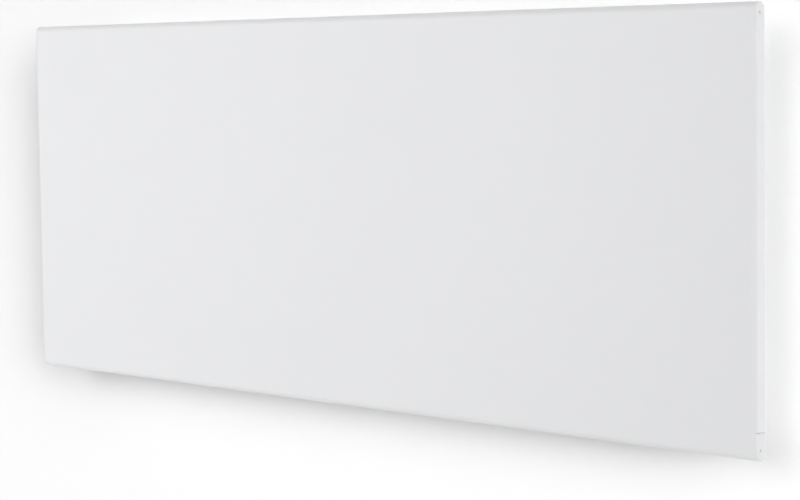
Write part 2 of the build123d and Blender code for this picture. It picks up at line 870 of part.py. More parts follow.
def board_parts():
    """The relay, the capacitor and the lamp on the board, each a node of its own."""
    low = board_high + fit_gap
    relay_depth = control_depth - board_width / 2 + 1.0 + relay_size[1] / 2
    breadth = around(relay_depth, relay_size[1])
    relay = block(around(board_x, relay_size[0]), breadth, (low, low + relay_size[2]))
    relay = fillet(relay.edges().filter_by(Axis.Z), 1.0)
    can_x = board_x - board_width / 2 + capacitor_radius + 7.0
    can_depth = control_depth + board_width / 2 - capacitor_radius - 0.5
    can = rod_up(capacitor_radius, can_x, can_depth, (low, low + capacitor_height))
    can = fillet(can.edges().sort_by(Axis.Z)[-1], 0.6)
    lamp = rod_up(lamp_radius, lamp_x, lamp_depth, (low, low + lamp_height))
    lamp = fillet(lamp.edges().sort_by(Axis.Z)[-1], lamp_radius / 2)
    return relay, can, lamp


def light_guide():
    """The clear rod that brings the lamp's light up to the fascia."""
    low = board_high + fit_gap + lamp_height + fit_gap
    rod = rod_up(guide_radius, lamp_x, lamp_depth, (low, fascia_top + guide_dome))
    rod = fillet(rod.edges().sort_by(Axis.Z)[-1], guide_dome)
    collar = (casing_top - guide_flange_height, casing_top)
    return rod + rod_up(guide_flange_radius, lamp_x, lamp_depth, collar)


def rocker_frame():
    """The switch body: a bezel on the fascia and a well that holds the rocker."""
    x = around(rocker_x, frame_width)
    depth = around(control_depth, frame_length)
    frame = block(x, depth, (fascia_top - frame_depth, fascia_top + fit_gap))
    bezel_x = around(rocker_x, frame_width + 2 * frame_bezel)
    bezel_depth = around(control_depth, frame_length + 2 * frame_bezel)
    bezel = block(bezel_x, bezel_depth, (fascia_top + fit_gap, fascia_top + fit_gap + frame_bezel_height))
    bezel = fillet(bezel.edges().filter_by(Axis.Z), frame_bezel)
    bezel = fillet(bezel.faces().sort_by(Axis.Z)[-1].edges(), frame_bezel / 2)
    frame += bezel
    well_x = around(rocker_x, well_width)
    floor = fascia_top - frame_depth + 2 * frame_wall
    frame -= block(well_x, around(control_depth, well_length), (floor, fascia_top))
    frame -= block(well_x, around(control_depth, opening_length), (floor, fascia_top + 5))
    across = around(rocker_x, 2 * frame_width)
    frame -= rod_along(trunnion_radius + trunnion_clearance, across, control_depth, pivot_height)
    for dy in (-frame_tab_spacing / 2, frame_tab_spacing / 2):
        tab = (frame_tab_end(), fascia_top - frame_depth + 1)
        frame += block(around(rocker_x, 4), around(control_depth + dy, 0.8), tab)
    return frame


def frame_tab_end():
    return fascia_top - frame_depth - frame_tab_length


def power_rocker():
    """The rocker, tipped to its off side, with a stub axle at each end."""
    size = 2 * rocker_radius
    body = Rot(0, 90, 0) * Cylinder(rocker_radius, rocker_width)
    body &= Pos(0, 0, (rocker_rise - rocker_drop) / 2 + rocker_radius / 4) * Box(
        rocker_width, size, rocker_rise + rocker_drop + rocker_radius / 2
    )
    for side in (-1, 1):
        slope = Rot(side * rocker_tilt, 0, 0) * Pos(0, side * size / 2, size / 2) * Box(size, size, size)
        body -= Pos(0, 0, rocker_rise) * slope
    body += Rot(0, 90, 0) * Cylinder(trunnion_radius, rocker_width + 2 * trunnion_length)
    return Pos(rocker_x, -control_depth, pivot_height) * Rot(-rocker_tilt, 0, 0) * body


def terminal_block():
    """The three-pole block where the supply is joined."""
    width = pole_pitch * pole_count
    low = terminal_block_top - terminal_block_height
    depth = (inner_back + fit_gap, inner_back + fit_gap + terminal_block_depth)
    body = block(around(terminal_block_x, width), depth, (low, terminal_block_top))
    body = fillet(body.edges().filter_by(Axis.Z), 1.0)
    for x in pole_places():
        hole = (terminal_block_top - terminal_hole_length, terminal_block_top + 1)
        body -= rod_up(terminal_hole_radius, x, terminal_lead_depth(), hole)
        bottom = (low - 1, low + terminal_hole_length)
        body -= rod_up(terminal_hole_radius + 0.6, x, terminal_lead_depth(), bottom)
        reach = (depth[1] - 3.0, depth[1] + 1)
        body -= rod_out(screw_radius + 1.0, x, reach, terminal_block_top - terminal_block_height / 2)
    return body


def terminal_lead_depth():
    return inner_back + terminal_block_depth / 2


def pole_places():
    return [terminal_block_x + x for x in spread(pole_pitch * (pole_count - 1), pole_count)]


def terminal_screws():
    """The clamping screws of the terminal block."""
    front = inner_back + fit_gap + terminal_block_depth
    z = terminal_block_top - terminal_block_height / 2
    screws = []
    for x in pole_places():
        screw = rod_out(screw_radius + 0.9, x, (front - 3.0 + fit_gap, front - 1.0), z)
        screws.append(screw - block(around(x, 6), (front - 1.6, front), around(z, 0.7)))
    return group(screws)


def earth_stud():
    """The earth point: a stud through the casing's back with its fixed head behind."""
    stud = rod_out(earth_radius, earth_x, (wall_gap, inner_back + earth_length), earth_height)
    return stud + rod_out(2 * earth_radius, earth_x, (wall_gap - 1.5, wall_gap), earth_height)


def earth_nut():
    """The nut on the earth stud."""
    low = inner_back + fit_gap
    hexagon = extrude(RegularPolygon(nut_radius, 6), amount=nut_height)
    nut = Pos(earth_x, -low, earth_height) * Rot(90, 0, 0) * hexagon
    return nut - rod_out(earth_radius + fit_gap / 2, earth_x, (low - 1, low + nut_height + 1), earth_height)


def cable_gland():
    """The gland through the bottom wall, with a clear bore for the supply cord."""
    low = -casing_top - gland_head_height
    head = hexagon_up(gland_head_radius, terminal_block_x, gland_depth, (low, -casing_top - fit_gap))
    head = fillet(head.faces().sort_by(Axis.Z)[0].edges(), 1.0)
    neck_z = (-casing_top - fit_gap, -casing_top + gland_neck_length)
    neck = rod_up(gland_neck_radius, terminal_block_x, gland_depth, neck_z)
    bore = (low - 1, neck_z[1] + 1)
    return head + neck - rod_up(gland_bore, terminal_block_x, gland_depth, bore)


def gland_nut():
    """The nut that holds the gland from inside."""
    z = (-inner_top + fit_gap, -inner_top + fit_gap + gland_nut_height)
    nut = hexagon_up(gland_nut_radius, terminal_block_x, gland_depth, z)
    hole = rod_up(gland_neck_radius + fit_gap, terminal_block_x, gland_depth, (z[0] - 1, z[1] + 1))
    return nut - hole


def room_sensor():
    """The air temperature probe in its clip above the inlet."""
    floor = -inner_top + fit_gap
    clip_x = around(sensor_x, sensor_clip[0])
    clip = block(clip_x, around(sensor_depth, sensor_clip[1]), (floor, floor + sensor_clip[2]))
    clip = fillet(clip.edges().filter_by(Axis.Z), 1.0)
    probe = (floor + sensor_clip[2] - 1, floor + sensor_clip[2] + sensor_length)
    return clip + rod_up(sensor_radius, sensor_x, sensor_depth, probe)


def lead(points, radius):
    """A round lead through (x, depth, z) points, with every corner rounded."""
    places = [Vector(x, -depth, z) for x, depth, z in points]
    bends = []
    for before, here, after in zip(places, places[1:], places[2:]):
        turn = math.radians((here - before).get_angle(after - here))
        run = min((here - before).length, (after - here).length)
        bends.append(min(lead_bend * 2, 0.45 * run / math.tan(turn / 2)))
    path = FilletPolyline(*places, radius=bends)
    return sweep(Plane(path @ 0, z_dir=path % 0) * Circle(radius), path=path)


def rod_end(side):
    """X of the tip of the element's terminal pin on one side."""
    return element_middle + side * (element_length / 2 + rod_overhang + terminal_length + fit_gap)


def live_lead():
    """From the first pole up the right end to the switch."""
    x, depth, _ = lead_holes()[2]
    start = pole_places()[0]
    first = terminal_block_top
    back = terminal_lead_depth()
    duct = control_x + control_width / 2 + 7
    points = [(start, back, first - terminal_hole_length + 1), (start, back, first + 14)]
    points += [(duct, back + 4, first + 60), (duct, back + 4, control_floor - 30)]
    points += [(x, depth, control_floor - 8), (x, depth, frame_tab_end() - fit_gap)]
    return lead(points, lead_radius)


def neutral_lead():
    """From the middle pole to the right end of the heating rod."""
    start = pole_places()[1]
    back = terminal_lead_depth()
    first = terminal_block_top
    points = [(start, back, first - terminal_hole_length + 1), (start, back, first + 10)]
    points += [(start, element_depth, element_height), (rod_end(1), element_depth, element_height)]
    return lead(points, lead_radius)


def earth_lead():
    """From the last pole to the earth stud."""
    start = pole_places()[2]
    back = terminal_lead_depth()
    ring = inner_back + fit_gap + nut_height / 2
    first = terminal_block_top
    end = earth_height - nut_radius - fit_gap
    points = [(start, back, first - terminal_hole_length + 1), (start, back, first + 6)]
    points += [(earth_x, ring, end - 9), (earth_x, ring, end)]
    return lead(points, lead_radius)


def switched_lead():
    """From the board to the thermal cut-out."""
    x, depth, _ = lead_holes()[0]
    run = lead_depth()
    end = cutout_x + cutout_radius + cutout_tab_length + fit_gap
    points = [(x, depth, board_low - fit_gap), (x, depth, control_floor - lead_drop)]
    points += [(x - lead_side_step, run, lead_height), (end + lead_run_end, run, lead_height)]
    points += [(end + lead_level_run, run, cutout_height), (end, run, cutout_height)]
    return lead(points, lead_radius)


def return_lead():
    """From the thermal cut-out along the shield to the left end of the heating rod."""
    run = lead_depth()
    start = cutout_x - cutout_radius - cutout_tab_length - fit_gap
    end = rod_end(-1)
    side = end - return_side
    points = [(start, run, cutout_height), (start - lead_level_run, run, cutout_height)]
    points += [(start - lead_run_end, run, lead_height), (end + return_run_start, run, lead_height)]
    points += [(side, run - return_back, element_height + return_fall)]
    points += [(side, element_depth, element_height + return_foot)]
    points += [(end - return_tip, element_depth, element_height), (end, element_depth, element_height)]
    return lead(points, lead_radius)


def sensor_lead():
    """From the room sensor up the right end to the board."""
    x, depth, _ = lead_holes()[1]
    top = -inner_top + fit_gap + sensor_clip[2] + sensor_length
    side = rod_end(1) + 8
    points = [(sensor_x, sensor_depth, top + fit_gap), (sensor_x, sensor_depth, top + 9)]
    points += [(side, sensor_depth + 4, top + 22), (side, sensor_depth + 4, control_floor - 40)]
    points += [(x, depth, control_floor - 12), (x, depth, board_low - fit_gap)]
    return lead(points, sensor_lead_radius)


def lead_clips():
    """Clips on the front shield that hold the return lead."""
    clips = []
    back = front_shield_depth - fit_gap
    for x in spread(2 * clip_spread, clip_count):
        place = x - clip_size[0]
        z = around(lead_height, clip_size[2])
        clip = block(around(place, clip_size[0]), (back - clip_size[1], back), z)
        bore = lead_radius + clip_bore_clearance
        clip -= rod_along(bore, around(place, 2 * clip_size[0]), lead_depth(), lead_height)
        clips.append(clip)
    return group([clip for clip in clips if clip.center().X < cutout_x - clip_to_cutout])


def bracket_upright():
    """The right upright: a channel with two hooks and a locking lug at its foot."""
    middle = upright_spacing / 2
    x = around(middle, upright_width)
    z = around(0, upright_height)
    upright = block(x, (0, flange_tip), z)
    upright = fillet(upright.edges().filter_by(Axis.Z).group_by(Axis.Y)[-1], bracket_sheet)
    hollow = around(middle, upright_width - 2 * bracket_sheet)
    upright -= block(hollow, (bracket_sheet, flange_tip + 1), (z[0] - 1, z[1] + 1))
    leg = around(hook_x, bracket_sheet)
    for seat in (-hook_height, hook_height):
        upright += block(leg, (flange_tip - 1, hook_tip), (seat - hook_neck, seat))
        tooth = block(leg, (hook_tip - hook_thickness, hook_tip), (seat - hook_neck, seat + hook_tooth))
        nose = tooth.edges().filter_by(Axis.X).group_by(Axis.Z)[-1]
        upright += fillet(nose, hook_thickness / 3)
    lug_x = (hook_x - bracket_sheet / 2, hook_x + bracket_sheet / 2 + lug_length)
    lug = block(lug_x, (bracket_sheet, flange_tip), (z[0], z[0] + bracket_sheet))
    upright += fillet(lug.edges().filter_by(Axis.Z).group_by(Axis.X)[-1], bracket_sheet)
    inner_leg = (x[0] - 1, x[0] + bracket_sheet)
    notch = around(0, rail_height + 1)
    upright -= block(inner_leg, (bracket_sheet, 2 * bracket_sheet + 0.5), notch)
    for height in (-wall_hole_height, wall_hole_height):
        upright -= rod_out(wall_hole_radius, middle, (-1, bracket_sheet + 1), height)
    for place, height in rail_rivet_places():
        upright -= rod_out(rivet_radius, place, (-1, bracket_sheet + 1), height)
    return upright


def rail_rivet_places():
    """X and height of the rivets at the right end of the rail."""
    return [(upright_spacing / 2, -rivet_row), (upright_spacing / 2, rivet_row)]


def bracket_rail():
    """The rail between the uprights, with folded edges and stepped ends that lap them."""
    inner_edge = (upright_spacing - upright_width) / 2
    reach = inner_edge - fit_gap
    height = around(0, rail_height)
    rail = block((-reach, reach), (0, bracket_sheet), height)
    flange_reach = reach - bracket_sheet
    for side in (-1, 1):
        z = sorted((side * rail_height / 2, side * (rail_height / 2 - bracket_sheet)))
        rail += block((-flange_reach, flange_reach), (0, rail_flange), z)
        lap_end = upright_spacing / 2 + rail_lap
        lap_x = sorted((side * (reach - bracket_sheet), side * lap_end))
        lap_depth = (bracket_sheet, 2 * bracket_sheet)
        rail += block(lap_x, lap_depth, height)
        for place, z in rail_rivet_places():
            rail -= rod_out(rivet_radius, side * place, (0, 3 * bracket_sheet), z)
    return rail


def bracket_rivets():
    """The rivets that join the rail to the uprights."""
    rivets = []
    for place, z in rail_rivet_places():
        for side in (-1, 1):
            rivet = rod_out(rivet_radius - fit_gap / 2, side * place, (0, 2 * bracket_sheet + 1), z)
            head = (2 * bracket_sheet, 2 * bracket_sheet + rivet_head_height)
            rivets.append(rivet + rod_out(rivet_head_radius, side * place, head, z))
    return group(rivets)


def catch():
    """The right catch: a slotted slide with a tongue and a ribbed thumb grip."""
    body_x, rivets = catch_places()
    top = catch_top()
    depth = (flange_tip - catch_thickness, flange_tip)
    body = block(body_x, depth, (top - catch_height, top))
    body = fillet(body.edges().filter_by(Axis.Y), 1.0)
    tongue_x = (body_x[0] - tongue_length, body_x[0] + 3)
    body += block(tongue_x, depth, (top - tongue_height, top))
    middle = (body_x[0] + body_x[1]) / 2
    grip_z = (top - catch_height - grip_length, top - catch_height + 3)
    grip = block(around(middle, grip_width), (depth[0] - grip_rise, depth[1]), grip_z)
    body += fillet(grip.edges().filter_by(Axis.Y), 1.0)
    for dx in (-4, 0, 4):
        body += rod_up(grip_rib_radius, middle + dx, depth[0] - grip_rise, (grip_z[0] + 1.5, grip_z[1] - 1.5))
    slot_start = rivets[0] - rivet_radius - catch_rivet_clearance
    slot_end = rivets[1] + rivet_radius + catch_rivet_clearance + catch_travel
    slot_z = around(catch_rivet_height(), catch_slot_height)
    slot = block((slot_start, slot_end), (depth[0] - 1, depth[1] + 1), slot_z)
    return body - fillet(slot.edges().filter_by(Axis.Y), catch_slot_height / 2 - 0.1)


def catch_rivets():
    """Shouldered rivets on which the catches slide."""
    rivets = []
    z = catch_rivet_height()
    head = flange_tip - catch_thickness - catch_rivet_clearance
    for place in catch_places()[1]:
        for side in (-1, 1):
            x = side * place
            rivet = rod_out(rivet_radius, x, (head, inner_back + rivet_head_height), z)
            rivet += rod_out(rivet_head_radius, x, (head - rivet_head_height, head), z)
            rivet += rod_out(rivet_head_radius, x, (inner_back, inner_back + rivet_head_height), z)
            rivets.append(rivet)
    return group(rivets)


def wall_buffers():
    """Rubber buffers that keep the casing's lower edge off the wall."""
    pieces = []
    for x, z in buffer_places():
        pad = rod_out(buffer_radius, x, (0, wall_gap), z)
        pad = fillet(pad.edges().group_by(Axis.Y)[-1], 1.0)
        pad += rod_out(buffer_stem_radius, x, (wall_gap - 1, inner_back + 1), z)
        button = (inner_back, inner_back + buffer_button_height)
        pieces.append(pad + rod_out(buffer_button_radius, x, button, z))
    return group(pieces)


def pan_screw(length, radius=screw_radius):
    """A pan-head screw that points down from the underside of its head at the origin."""
    head = Pos(0, 0, screw_head_height / 2) * Cylinder(screw_head_radius, screw_head_height)
    head = fillet(head.edges().sort_by(Axis.Z)[-1], screw_head_height / 2)
    socket = Pos(0, 0, screw_head_height - screw_recess)
    recess = socket * extrude(RegularPolygon(screw_recess_radius, 6), amount=screw_recess + 1)
    shank = Pos(0, 0, -length / 2) * Cylinder(radius - fit_gap / 2, length)
    return head - recess + shank


def screws_down(places, z, length, radius=screw_radius):
    """Screws put in from above."""
    return [Pos(x, -depth, z) * pan_screw(length, radius) for x, depth in places]


def screws_up(places, z, length):
    """Screws put in from below."""
    return [Pos(x, -depth, z) * Rot(180, 0, 0) * pan_screw(length) for x, depth in places]


def screws_out(places, depth, length):
    """Screws put in from the wall's side, pointing out into the room."""
    return [Pos(x, -depth, z) * Rot(-90, 0, 0) * pan_screw(length) for x, z in places]


def cover_screws():
    height = cover_screw_height()
    places = [(x, z) for x in cover_screw_places() for z in (-height, height)]
    return group(screws_out(places, lip_depth - casing_sheet, cover_screw_length))


def casing_screws():
    """The screws through the top and bottom walls into both side plates."""
    places = casing_screw_places() + [(-x, depth) for x, depth in casing_screw_places()]
    top = screws_down(places, casing_top, casing_screw_length)
    return group(top + screws_up(places, -casing_top, casing_screw_length))


def grille_screws():
    top = casing_top + fit_gap + grille_sheet
    return group(screws_down(grille_screw_places(), top, casing_screw_length))


def control_screws():
    return group(screws_down(control_screw_places(), fascia_top, control_screw_length))


def board_screws():
    return group(screws_down(board_screw_places(), board_high, board_screw_length - 1, screw_radius - 0.5))


def element_screws():
    """The screws through the casing's back into the feet of the element brackets."""
    places = [(x, element_height) for x in element_foot_places()]
    return group(screws_out(places, wall_gap, casing_screw_length))


def build_nodes():
    """Every sub-part under its own name."""
    nodes = {"front_cover": front_cover()}
    for corner, cap in four_ways(corner_cap()).items():
        nodes["cap_" + corner] = cap
    nodes["cap_pins"] = group(four_ways(cap_pin()).values())
    nodes["rear_casing"] = rear_casing()
    nodes["side_plate_right"] = side_plate()
    nodes["side_plate_left"] = mirrored(side_plate())
    nodes["outlet_grille"] = outlet_grille()
    nodes["front_heat_shield"] = heat_shield(front_shield_depth, front_shield_low, front_shield_high, -1)
    nodes["rear_heat_shield"] = heat_shield(rear_shield_depth, rear_shield_low, rear_shield_high, 1)
    nodes["shield_rivets"] = shield_rivets()
    nodes["element_fins"] = element_fins()
    nodes["element_rod"] = element_rod()
    nodes["element_bushes"] = group([element_bush(), about_element(element_bush())])
    nodes["element_bracket_right"] = element_bracket()
    nodes["element_bracket_left"] = about_element(element_bracket())
    nodes["thermal_cutout"] = thermal_cutout()
    nodes["control_housing"] = control_housing()
    nodes["control_fascia"] = control_fascia()
    nodes["thermostat_dial"] = thermostat_dial()
    nodes["dial_shaft"] = dial_shaft()
    nodes["potentiometer"] = potentiometer()
    nodes["control_board"] = control_board()
    nodes["board_relay"], nodes["board_capacitor"], nodes["board_lamp"] = board_parts()
    nodes["light_guide"] = light_guide()
    nodes["rocker_frame"] = rocker_frame()
    nodes["power_rocker"] = power_rocker()
    nodes["terminal_block"] = terminal_block()
    nodes["terminal_screws"] = terminal_screws()
    nodes["earth_stud"] = earth_stud()
    nodes["earth_nut"] = earth_nut()
    nodes["cable_gland"] = cable_gland()
    nodes["gland_nut"] = gland_nut()
    nodes["room_sensor"] = room_sensor()
    nodes["live_lead"] = live_lead()
    nodes["neutral_lead"] = neutral_lead()
    nodes["earth_lead"] = earth_lead()
    nodes["switched_lead"] = switched_lead()
    nodes["return_lead"] = return_lead()
    nodes["sensor_lead"] = sensor_lead()
    nodes["lead_clips"] = lead_clips()
    nodes["bracket_upright_right"] = bracket_upright()
    nodes["bracket_upright_left"] = mirrored(bracket_upright())
    nodes["bracket_rail"] = bracket_rail()
    nodes["bracket_rivets"] = bracket_rivets()
    nodes["catch_right"] = catch()
    nodes["catch_left"] = mirrored(catch())
    nodes["catch_rivets"] = catch_rivets()
    nodes["wall_buffers"] = wall_buffers()
    nodes["cover_screws"] = cover_screws()
    nodes["casing_screws"] = casing_screws()
    nodes["grille_screws"] = grille_screws()
    nodes["control_screws"] = control_screws()
    nodes["board_screws"] = board_screws()
    nodes["element_screws"] = element_screws()
    return nodes


os.makedirs("parts", exist_ok=True)
for name, shape in build_nodes().items():
    export_step(shape, os.path.join("parts", name + ".step"))
    print(name, "solids", len(shape.solids()))
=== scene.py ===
# %% [markdown]
# # A slim electric panel heater on a white wall
# The imported model is loaded first and stays as it is: it gives every folded sheet, screw and lead its place, in
# metres. Blender adds the finishes, the printed scale and marks, the room and the camera.

# %% Load the imported model
import json
import math
from collections import namedtuple
import bpy
from mathutils import Matrix, Vector


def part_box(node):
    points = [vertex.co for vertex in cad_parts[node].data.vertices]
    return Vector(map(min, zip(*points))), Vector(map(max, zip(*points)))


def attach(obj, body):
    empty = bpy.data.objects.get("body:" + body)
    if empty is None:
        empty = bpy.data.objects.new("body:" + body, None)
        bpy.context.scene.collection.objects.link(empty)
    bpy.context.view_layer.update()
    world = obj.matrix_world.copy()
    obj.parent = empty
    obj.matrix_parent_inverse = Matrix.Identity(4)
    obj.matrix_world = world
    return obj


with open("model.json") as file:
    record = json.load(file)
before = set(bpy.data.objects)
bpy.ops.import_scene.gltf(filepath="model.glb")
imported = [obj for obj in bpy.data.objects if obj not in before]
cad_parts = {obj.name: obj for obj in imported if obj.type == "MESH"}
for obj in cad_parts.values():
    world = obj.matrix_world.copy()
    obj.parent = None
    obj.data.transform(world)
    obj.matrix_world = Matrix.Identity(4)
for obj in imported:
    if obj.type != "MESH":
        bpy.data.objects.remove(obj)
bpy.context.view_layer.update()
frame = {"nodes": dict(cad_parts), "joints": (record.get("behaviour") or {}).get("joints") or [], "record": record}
nodes = frame["nodes"]
scene_collection = bpy.context.scene.collection

# %% [markdown]
# ## Camera
# The photograph was taken from the right of the heater, a little above its middle, with a long
# lens. The place, the turn and the lens come from fitting the four corners of the front, so the
# camera is set from these values and not by eye. A camera could also be aimed with a constraint,
# but a plain matrix keeps the slight roll.

# %% Camera
camera_place = Vector((1.7569, -1.7205, 0.1501))
camera_yaw = math.radians(-45.674)
camera_pitch = math.radians(-4.520)
camera_roll = math.radians(-0.822)
lens_mm = 105.649
sensor_mm = 36.0
nearest_seen = 0.05
farthest_seen = 60.0

forward = Vector((math.sin(camera_yaw) * math.cos(camera_pitch),
                  math.cos(camera_yaw) * math.cos(camera_pitch),
                  math.sin(camera_pitch)))
level_right = Vector((math.cos(camera_yaw), -math.sin(camera_yaw), 0.0))
level_up = level_right.cross(forward)
right = level_right * math.cos(camera_roll) + level_up * math.sin(camera_roll)
up = level_up * math.cos(camera_roll) - level_right * math.sin(camera_roll)

camera_data = bpy.data.cameras.new("photo_camera")
camera_data.lens = lens_mm
camera_data.sensor_width = sensor_mm
camera_data.sensor_fit = "HORIZONTAL"
camera_data.clip_start = nearest_seen
camera_data.clip_end = farthest_seen
camera = bpy.data.objects.new("photo_camera", camera_data)
scene_collection.objects.link(camera)
turn = Matrix((right, up, -forward)).transposed()
camera.matrix_world = Matrix.Translation(camera_place) @ turn.to_4x4()
bpy.context.scene.camera = camera
bpy.context.scene.view_settings.view_transform = "Standard"
print("camera at", [round(v, 3) for v in camera_place], "lens", lens_mm)

# %% [markdown]
# ## Shader expressions
# Finishes are easier to read as sums than as boxes and wires. A Signal wraps a socket, and the
# usual operators add Math nodes. Anything else is added by one method of the Recipe, which takes
# the node's type, its settings and then its sockets.


# %% A socket that can be used in a sum
class Signal:
    """The output of a node, for use in a Python expression."""

    def __init__(self, recipe, socket):
        self.recipe = recipe
        self.socket = socket

    def math(self, operation, first, second):
        return self.recipe.add("ShaderNodeMath", {"operation": operation}, {0: first, 1: second})

    def __add__(self, other):
        return self.math("ADD", self, other)

    def __radd__(self, other):
        return self.math("ADD", other, self)

    def __sub__(self, other):
        return self.math("SUBTRACT", self, other)

    def __rsub__(self, other):
        return self.math("SUBTRACT", other, self)

    def __mul__(self, other):
        return self.math("MULTIPLY", self, other)

    def __rmul__(self, other):
        return self.math("MULTIPLY", other, self)


print("Signal ready")


# %% [markdown]
# ## A recipe for a material
# A material is a tree of nodes. The Recipe starts an empty tree, and its short methods name the
# few nodes that the finishes share. Sockets are called by name where a name is enough. The Mix
# node has several sockets of one name, so its colour sockets are called by number.

# %% A recipe that gathers a material's nodes
class Recipe:
    """A new material, and the one method that adds a node to it."""

    mix_factor, mix_first, mix_second, mix_colour = 0, 6, 7, 2

    def __init__(self, name):
        self.material = bpy.data.materials.new(name)
        self.material.use_nodes = True
        self.tree = self.material.node_tree
        self.tree.nodes.clear()

    def add(self, kind, settings=None, sockets=None, output=0):
        """Add a node and give its output, or the node itself where it has none."""
        node = self.tree.nodes.new(kind)
        for key, value in (settings or {}).items():
            setattr(node, key, value)
        for key, value in (sockets or {}).items():
            if isinstance(value, Signal):
                self.tree.links.new(value.socket, node.inputs[key])
            else:
                node.inputs[key].default_value = value
        return Signal(self, node.outputs[output]) if node.outputs else node

    def place(self):
        """Where a point of the piece is, in metres, in its own frame."""
        return self.add("ShaderNodeTexCoord", output="Object")

    def noise(self, scale, detail=3.0, stretch=(1.0, 1.0, 1.0)):
        spot = self.add("ShaderNodeMapping", {}, {"Vector": self.place(), "Scale": stretch})
        return self.add("ShaderNodeTexNoise", {}, {"Vector": spot, "Scale": scale, "Detail": detail})

    def larger(self, first, second):
        return self.add("ShaderNodeMath", {"operation": "MAXIMUM"}, {0: first, 1: second})

    def mix(self, factor, first, second):
        """A colour between two colours."""
        sockets = {self.mix_factor: factor, self.mix_first: first, self.mix_second: second}
        return self.add("ShaderNodeMix", {"data_type": "RGBA"}, sockets, output=self.mix_colour)

    def between(self, value, low, high):
        """0 below low, 1 above high and smooth between them."""
        sockets = {"Value": value, "From Min": low, "From Max": high}
        return self.add("ShaderNodeMapRange", {"interpolation_type": "SMOOTHSTEP"}, sockets)

    def bump(self, height, distance):
        sockets = {"Height": height, "Distance": distance, "Strength": 1.0}
        return self.add("ShaderNodeBump", {}, sockets)

    def finish(self, surface):
        self.add("ShaderNodeOutputMaterial", {}, {"Surface": surface})
        return self.material


print("Recipe ready")


# %% [markdown]
# ## A common base for the finishes
# Every surface of the heater has the same few traits in other amounts: a colour that wanders a
# little, a roughness that wanders too, a fine relief, a thin film of dust on what faces up, and
# edges rubbed lighter. One function holds these, and each finish below gives its own amounts.
# The rubbed edge comes from comparing the surface's normal with the one that a slightly rounded
# edge would have: they differ only close to an edge.

# %% Colours and edges
def rgb(red, green, blue):
    return (red, green, blue, 1.0)


def scaled(colour, factor):
    return tuple(min(1.0, part * factor) for part in colour[:3]) + (1.0,)


# How strongly an edge is rubbed, the colour that shows there, and how wide it reaches in metres.
Edge = namedtuple("Edge", "amount colour radius")
edge_starts, edge_full = 0.02, 0.25
upward_starts, upward_full = 0.6, 1.0


def rubbed_edges(recipe, radius):
    """1 along the edges of the piece and 0 on its flat faces."""
    rounded = recipe.add("ShaderNodeBevel", {"samples": 4}, {"Radius": radius})
    normal = recipe.add("ShaderNodeNewGeometry", output="Normal")
    likeness = recipe.add("ShaderNodeVectorMath", {"operation": "DOT_PRODUCT"},
                          {0: rounded, 1: normal}, output="Value")
    return recipe.between(1.0 - likeness, edge_starts, edge_full)


def facing_up(recipe):
    """1 on faces that look up and 0 on upright ones."""
    normal = recipe.add("ShaderNodeNewGeometry", output="Normal")
    height = recipe.add("ShaderNodeSeparateXYZ", {}, {0: normal}, output="Z")
    return recipe.between(height, upward_starts, upward_full)


print("rubbed edges and dust ready")

# %% [markdown]
# ## One function for a finished surface
# All scales are in waves or cells per metre, and all heights in metres, so they can be set from
# the real thing. The wide clouds are a hand's width across, and the dust and the rubbing break up
# at a few millimetres.

# %% Shared traits of a surface
cloud_scale, cloud_detail = 9.0, 2.0
dust_scale, dust_detail = 160.0, 4.0
dust_colour = rgb(0.62, 0.6, 0.57)
rub_scale = 420.0
rub_starts, rub_full = 0.35, 0.7
deep_tone = 0.9
deep_share = 2.0


def surface(name, colour, roughness, relief_scale, relief_height, wander=0.02, gloss_wander=0.08,
            metallic=0.0, stretch=(1.0, 1.0, 1.0), edge=None, dust=0.06, pits=False):
    """A finished material from the traits that all of the heater's surfaces share."""
    recipe = Recipe(name)
    slow = recipe.noise(cloud_scale, cloud_detail)
    fine = recipe.noise(relief_scale, stretch=stretch)
    body = recipe.mix(slow, scaled(colour, 1.0 - wander), scaled(colour, 1.0 + wander))
    body = recipe.mix(fine * wander * deep_share, body, scaled(colour, deep_tone))
    body = recipe.mix(facing_up(recipe) * recipe.noise(dust_scale, dust_detail) * dust, body, dust_colour)
    if edge:
        patches = recipe.between(recipe.noise(rub_scale), rub_starts, rub_full)
        body = recipe.mix(rubbed_edges(recipe, edge.radius) * patches * edge.amount, body, edge.colour)
    height = fine
    if pits:
        height = recipe.add("ShaderNodeTexVoronoi", {"feature": "SMOOTH_F1"},
                            {"Vector": recipe.place(), "Scale": relief_scale})
    shader = recipe.add("ShaderNodeBsdfPrincipled", {}, {
        "Base Color": body,
        "Roughness": roughness + (slow - 0.5) * gloss_wander + (fine - 0.5) * gloss_wander,
        "Metallic": metallic,
        "Normal": recipe.bump(height, relief_height),
    })
    return recipe.finish(shader)


finishes = {}
print("surface() ready")

# %% [markdown]
# ## Powder coat
# The cover and the casing are steel sheet with a baked white powder coat: satin, very even, with
# the soft "orange peel" of melted powder, waves of one to two millimetres only microns deep. The
# colour is a cool white, a little below the paper white of the wall. The bracket has the same
# coat, thinner, and rubbed along its edges.

# %% Powder-coated steel
enamel_white = rgb(0.845, 0.848, 0.862)
bracket_white = rgb(0.78, 0.785, 0.79)
bare_steel = rgb(0.45, 0.45, 0.46)

finishes["white_enamel"] = surface(
    "powder_coat_white", enamel_white, roughness=0.46, relief_scale=720.0, relief_height=0.000012,
    wander=0.006, gloss_wander=0.05, dust=0.02)
finishes["bracket_paint"] = surface(
    "powder_coat_bracket", bracket_white, roughness=0.5, relief_scale=800.0, relief_height=0.00003,
    wander=0.012, edge=Edge(0.5, bare_steel, 0.0006), dust=0.1)
print("powder coats", sorted(finishes))

